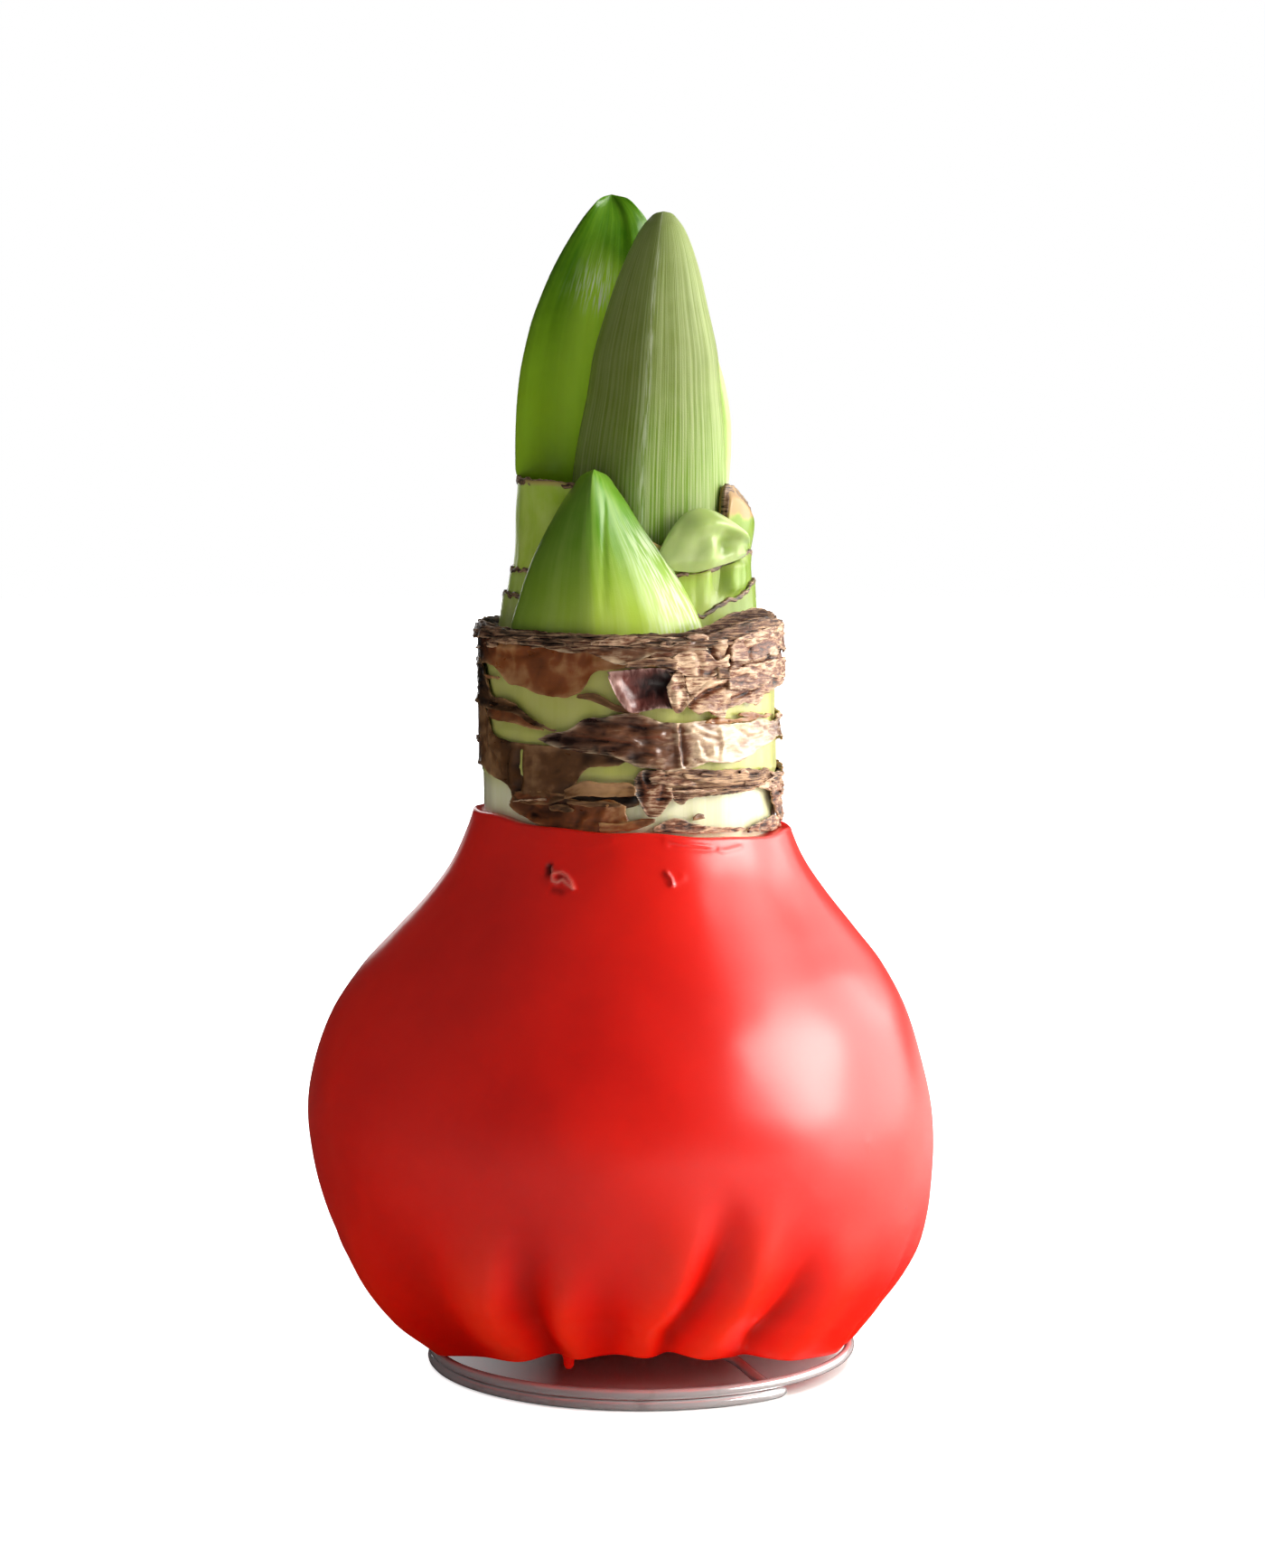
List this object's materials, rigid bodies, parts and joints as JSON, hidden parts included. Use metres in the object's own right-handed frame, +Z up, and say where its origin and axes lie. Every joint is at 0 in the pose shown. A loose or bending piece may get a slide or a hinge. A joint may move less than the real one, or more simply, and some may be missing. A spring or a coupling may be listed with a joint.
{
  "type": "waxed amaryllis bulb on a wire stand",
  "caption": "Amaryllis bulb dipped in red wax on a coiled wire stand, its neck in torn papery tunics, with green scales, leaves and a flower bud growing from the top.",
  "frame": {"origin": "on the table under the middle of the part's bounding box", "axes": "+Z up along the bulb and its shoots, -Y towards the front, where the front leaf stands before the bud, +X to the right seen from the front"},
  "size_m": [0.0919, 0.092, 0.173],
  "materials": {
    "galvanised_wire": "satin",
    "red_wax": "gloss",
    "bulb_flesh": "satin",
    "brown_tunic": "satin",
    "fibrous_tunic": "matte",
    "tan_tunic": "satin",
    "dark_tunic": "satin",
    "purple_tunic": "gloss",
    "cut_scale": "satin",
    "pale_scale": "gloss",
    "green_sheath": "satin",
    "bud_skin": "satin",
    "dark_leaf": "gloss",
    "pale_leaf": "satin",
    "fresh_leaf": "gloss"
  },
  "bodies": {
    "root": {"wire_stand": "galvanised_wire", "wax_coat": "red_wax", "bulb": "bulb_flesh", "tunic_collar": "brown_tunic", "tunic_inner_rim": "fibrous_tunic", "tunic_middle_band": "tan_tunic", "tunic_lower_left": "dark_tunic", "tunic_lower_right": "fibrous_tunic", "tunic_sliver": "brown_tunic", "tunic_flake": "purple_tunic", "scale_lower": "cut_scale", "scale_upper": "cut_scale", "scale_wrinkled": "pale_scale", "scale_sheath": "green_sheath", "flower_bud": "bud_skin", "leaf_back": "dark_leaf", "leaf_behind_bud": "pale_leaf", "leaf_front": "fresh_leaf"}
  },
  "joints": []
}
